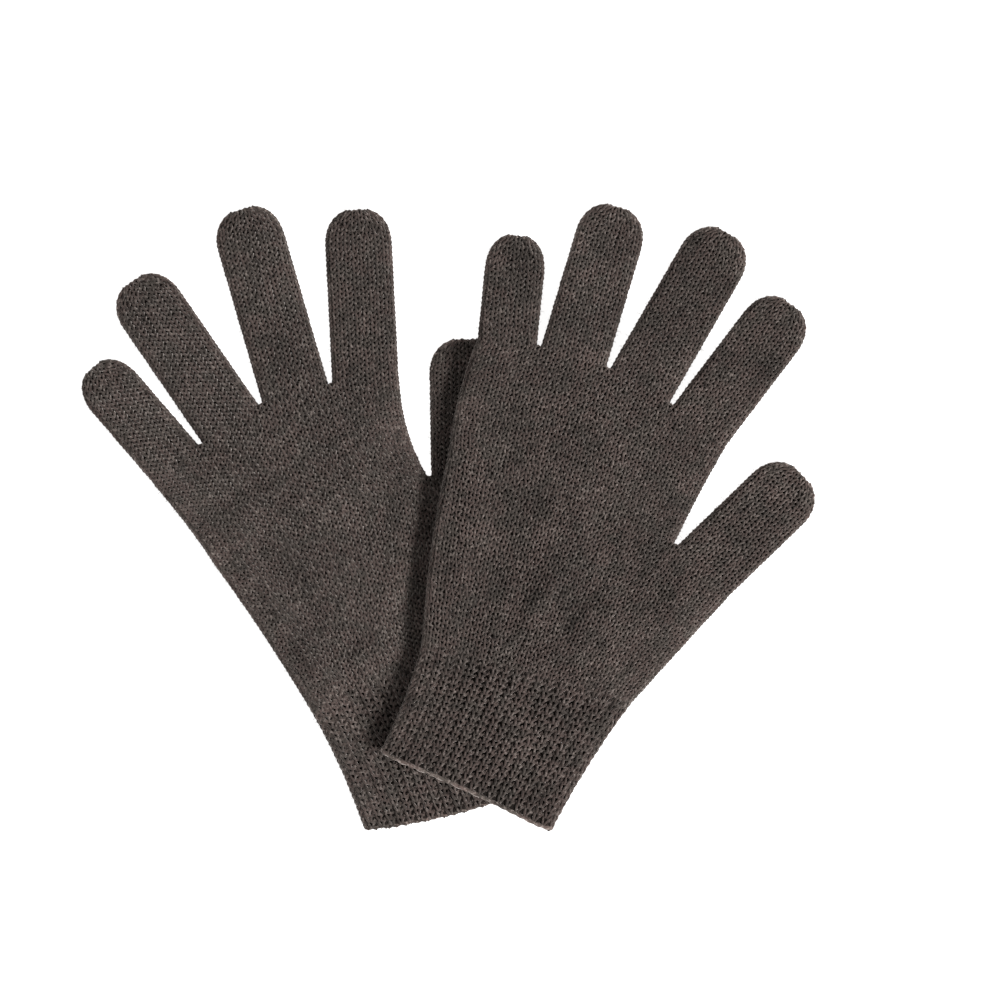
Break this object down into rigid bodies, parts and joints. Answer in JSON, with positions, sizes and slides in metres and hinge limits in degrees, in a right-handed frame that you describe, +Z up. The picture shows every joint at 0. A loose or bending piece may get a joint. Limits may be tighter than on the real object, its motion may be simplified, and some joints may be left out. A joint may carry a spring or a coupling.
{
  "type": "knitted gloves",
  "caption": "Pair of seamless knitted five-finger gloves with ribbed cuffs, laid flat with one glove over the edge of the other.",
  "frame": {"origin": "on the table, under the lower (left) glove's hand", "axes": "+X to the right across the pair, +Y from the cuffs towards the fingertips, +Z up from the table"},
  "size_m": [0.28, 0.2408, 0.0195],
  "materials": {
    "plain_knit": "plain knitted wool, dark grey-brown heather",
    "rib_knit": "one-by-one ribbed wool, dark grey-brown heather",
    "edge_yarn": "rolled and linked edge loops of the same yarn"
  },
  "bodies": {
    "left_hand": {"left_hem": "edge_yarn", "left_cuff": "rib_knit", "left_lower_hand": "plain_knit", "left_upper_hand": "plain_knit"},
    "right_hand": {"right_lower_hand": "plain_knit", "right_upper_hand": "plain_knit"},
    "right_cuff": {"right_hem": "edge_yarn", "right_cuff": "rib_knit"},
    "left_little": {"left_little_lower": "plain_knit"},
    "left_little_tip": {"left_little_upper": "plain_knit", "left_little_closing": "edge_yarn"},
    "left_ring": {"left_ring_lower": "plain_knit"},
    "left_ring_tip": {"left_ring_upper": "plain_knit", "left_ring_closing": "edge_yarn"},
    "left_middle": {"left_middle_lower": "plain_knit"},
    "left_middle_tip": {"left_middle_upper": "plain_knit", "left_middle_closing": "edge_yarn"},
    "left_index": {"left_index_lower": "plain_knit"},
    "left_index_tip": {"left_index_upper": "plain_knit", "left_index_closing": "edge_yarn"},
    "left_thumb": {"left_thumb_lower": "plain_knit", "left_thumb_upper": "plain_knit", "left_thumb_closing": "edge_yarn"},
    "right_little": {"right_little_lower": "plain_knit"},
    "right_little_tip": {"right_little_upper": "plain_knit", "right_little_closing": "edge_yarn"},
    "right_ring": {"right_ring_lower": "plain_knit"},
    "right_ring_tip": {"right_ring_upper": "plain_knit", "right_ring_closing": "edge_yarn"},
    "right_middle": {"right_middle_lower": "plain_knit"},
    "right_middle_tip": {"right_middle_upper": "plain_knit", "right_middle_closing": "edge_yarn"},
    "right_index": {"right_index_lower": "plain_knit"},
    "right_index_tip": {"right_index_upper": "plain_knit", "right_index_closing": "edge_yarn"},
    "right_thumb": {"right_thumb_lower": "plain_knit"},
    "right_thumb_tip": {"right_thumb_upper": "plain_knit", "right_thumb_closing": "edge_yarn"}
  },
  "joints": [
    {"name": "right_glove_lift", "type": "slide", "parent": "left_hand", "child": "right_hand", "axis": [0, 0, 1], "range_m": [0, 0.12]},
    {"name": "right_cuff_fold", "type": "hinge", "parent": "right_hand", "child": "right_cuff", "pos_m": [0.0752, -0.0426, 0.0193], "axis": [-0.9593, 0.2823, 0], "range_deg": [0, 75]},
    {"name": "left_little_root_fold", "type": "hinge", "parent": "left_hand", "child": "left_little", "pos_m": [-0.05961, 0.03605, 0.00905], "axis": [0.7581, 0.6521, 0], "range_deg": [0, 50]},
    {"name": "left_little_middle_fold", "type": "hinge", "parent": "left_little", "child": "left_little_tip", "pos_m": [-0.07586, 0.05495, 0.00905], "axis": [0.7581, 0.6521, 0], "range_deg": [0, 60]},
    {"name": "left_ring_root_fold", "type": "hinge", "parent": "left_hand", "child": "left_ring", "pos_m": [-0.03898, 0.05183, 0.00905], "axis": [0.8241, 0.5664, 0], "range_deg": [0, 50]},
    {"name": "left_ring_middle_fold", "type": "hinge", "parent": "left_ring", "child": "left_ring_tip", "pos_m": [-0.05792, 0.0794, 0.00905], "axis": [0.8241, 0.5664, 0], "range_deg": [0, 60]},
    {"name": "left_middle_root_fold", "type": "hinge", "parent": "left_hand", "child": "left_middle", "pos_m": [-0.01412, 0.06359, 0.00905], "axis": [0.9603, 0.279, 0], "range_deg": [0, 50]},
    {"name": "left_middle_middle_fold", "type": "hinge", "parent": "left_middle", "child": "left_middle_tip", "pos_m": [-0.02445, 0.09915, 0.00905], "axis": [0.9603, 0.279, 0], "range_deg": [0, 60]},
    {"name": "left_index_root_fold", "type": "hinge", "parent": "left_hand", "child": "left_index", "pos_m": [0.01289, 0.06817, 0.00905], "axis": [0.9987, 0.0506, 0], "range_deg": [0, 50]},
    {"name": "left_index_middle_fold", "type": "hinge", "parent": "left_index", "child": "left_index_tip", "pos_m": [0.01121, 0.10136, 0.00905], "axis": [0.9987, 0.0506, 0], "range_deg": [0, 60]},
    {"name": "left_thumb_swing", "type": "hinge", "parent": "left_hand", "child": "left_thumb", "pos_m": [0.06665, 0.03242, 0.0045], "axis": [0, 0, 1], "range_deg": [-8, 0]},
    {"name": "right_little_root_fold", "type": "hinge", "parent": "right_hand", "child": "right_little", "pos_m": [0.06732, 0.08249, 0.01904], "axis": [0.9947, -0.101, -0.017], "range_deg": [0, 50]},
    {"name": "right_little_middle_fold", "type": "hinge", "parent": "right_little", "child": "right_little_tip", "pos_m": [0.06942, 0.10316, 0.01885], "axis": [0.9943, -0.101, -0.0333], "range_deg": [0, 60]},
    {"name": "right_ring_root_fold", "type": "hinge", "parent": "right_hand", "child": "right_ring", "pos_m": [0.0927, 0.07727, 0.01652], "axis": [0.9447, -0.2834, -0.165], "range_deg": [0, 50]},
    {"name": "right_ring_middle_fold", "type": "hinge", "parent": "right_ring", "child": "right_ring_tip", "pos_m": [0.10139, 0.10625, 0.01454], "axis": [0.939, -0.2817, -0.1974], "range_deg": [0, 60]},
    {"name": "right_middle_root_fold", "type": "hinge", "parent": "right_hand", "child": "right_middle", "pos_m": [0.11808, 0.0663, 0.01177], "axis": [0.8562, -0.4943, -0.1505], "range_deg": [0, 50]},
    {"name": "right_middle_middle_fold", "type": "hinge", "parent": "right_middle", "child": "right_middle_tip", "pos_m": [0.13516, 0.09589, 0.00954], "axis": [0.8655, -0.4997, -0.0351], "range_deg": [0, 60]},
    {"name": "right_index_root_fold", "type": "hinge", "parent": "right_hand", "child": "right_index", "pos_m": [0.14099, 0.05108, 0.00935], "axis": [0.7953, -0.6058, -0.022], "range_deg": [0, 50]},
    {"name": "right_index_middle_fold", "type": "hinge", "parent": "right_index", "child": "right_index_tip", "pos_m": [0.15889, 0.07457, 0.00905], "axis": [0.7955, -0.606, 0], "range_deg": [0, 60]},
    {"name": "right_thumb_root_fold", "type": "hinge", "parent": "right_hand", "child": "right_thumb", "pos_m": [0.14227, -0.00482, 0.00951], "axis": [0.6931, -0.7202, -0.0311], "range_deg": [0, 60]},
    {"name": "right_thumb_middle_fold", "type": "hinge", "parent": "right_thumb", "child": "right_thumb_tip", "pos_m": [0.16162, 0.0138, 0.00905], "axis": [0.6934, -0.7205, 0], "range_deg": [0, 75]}
  ]
}
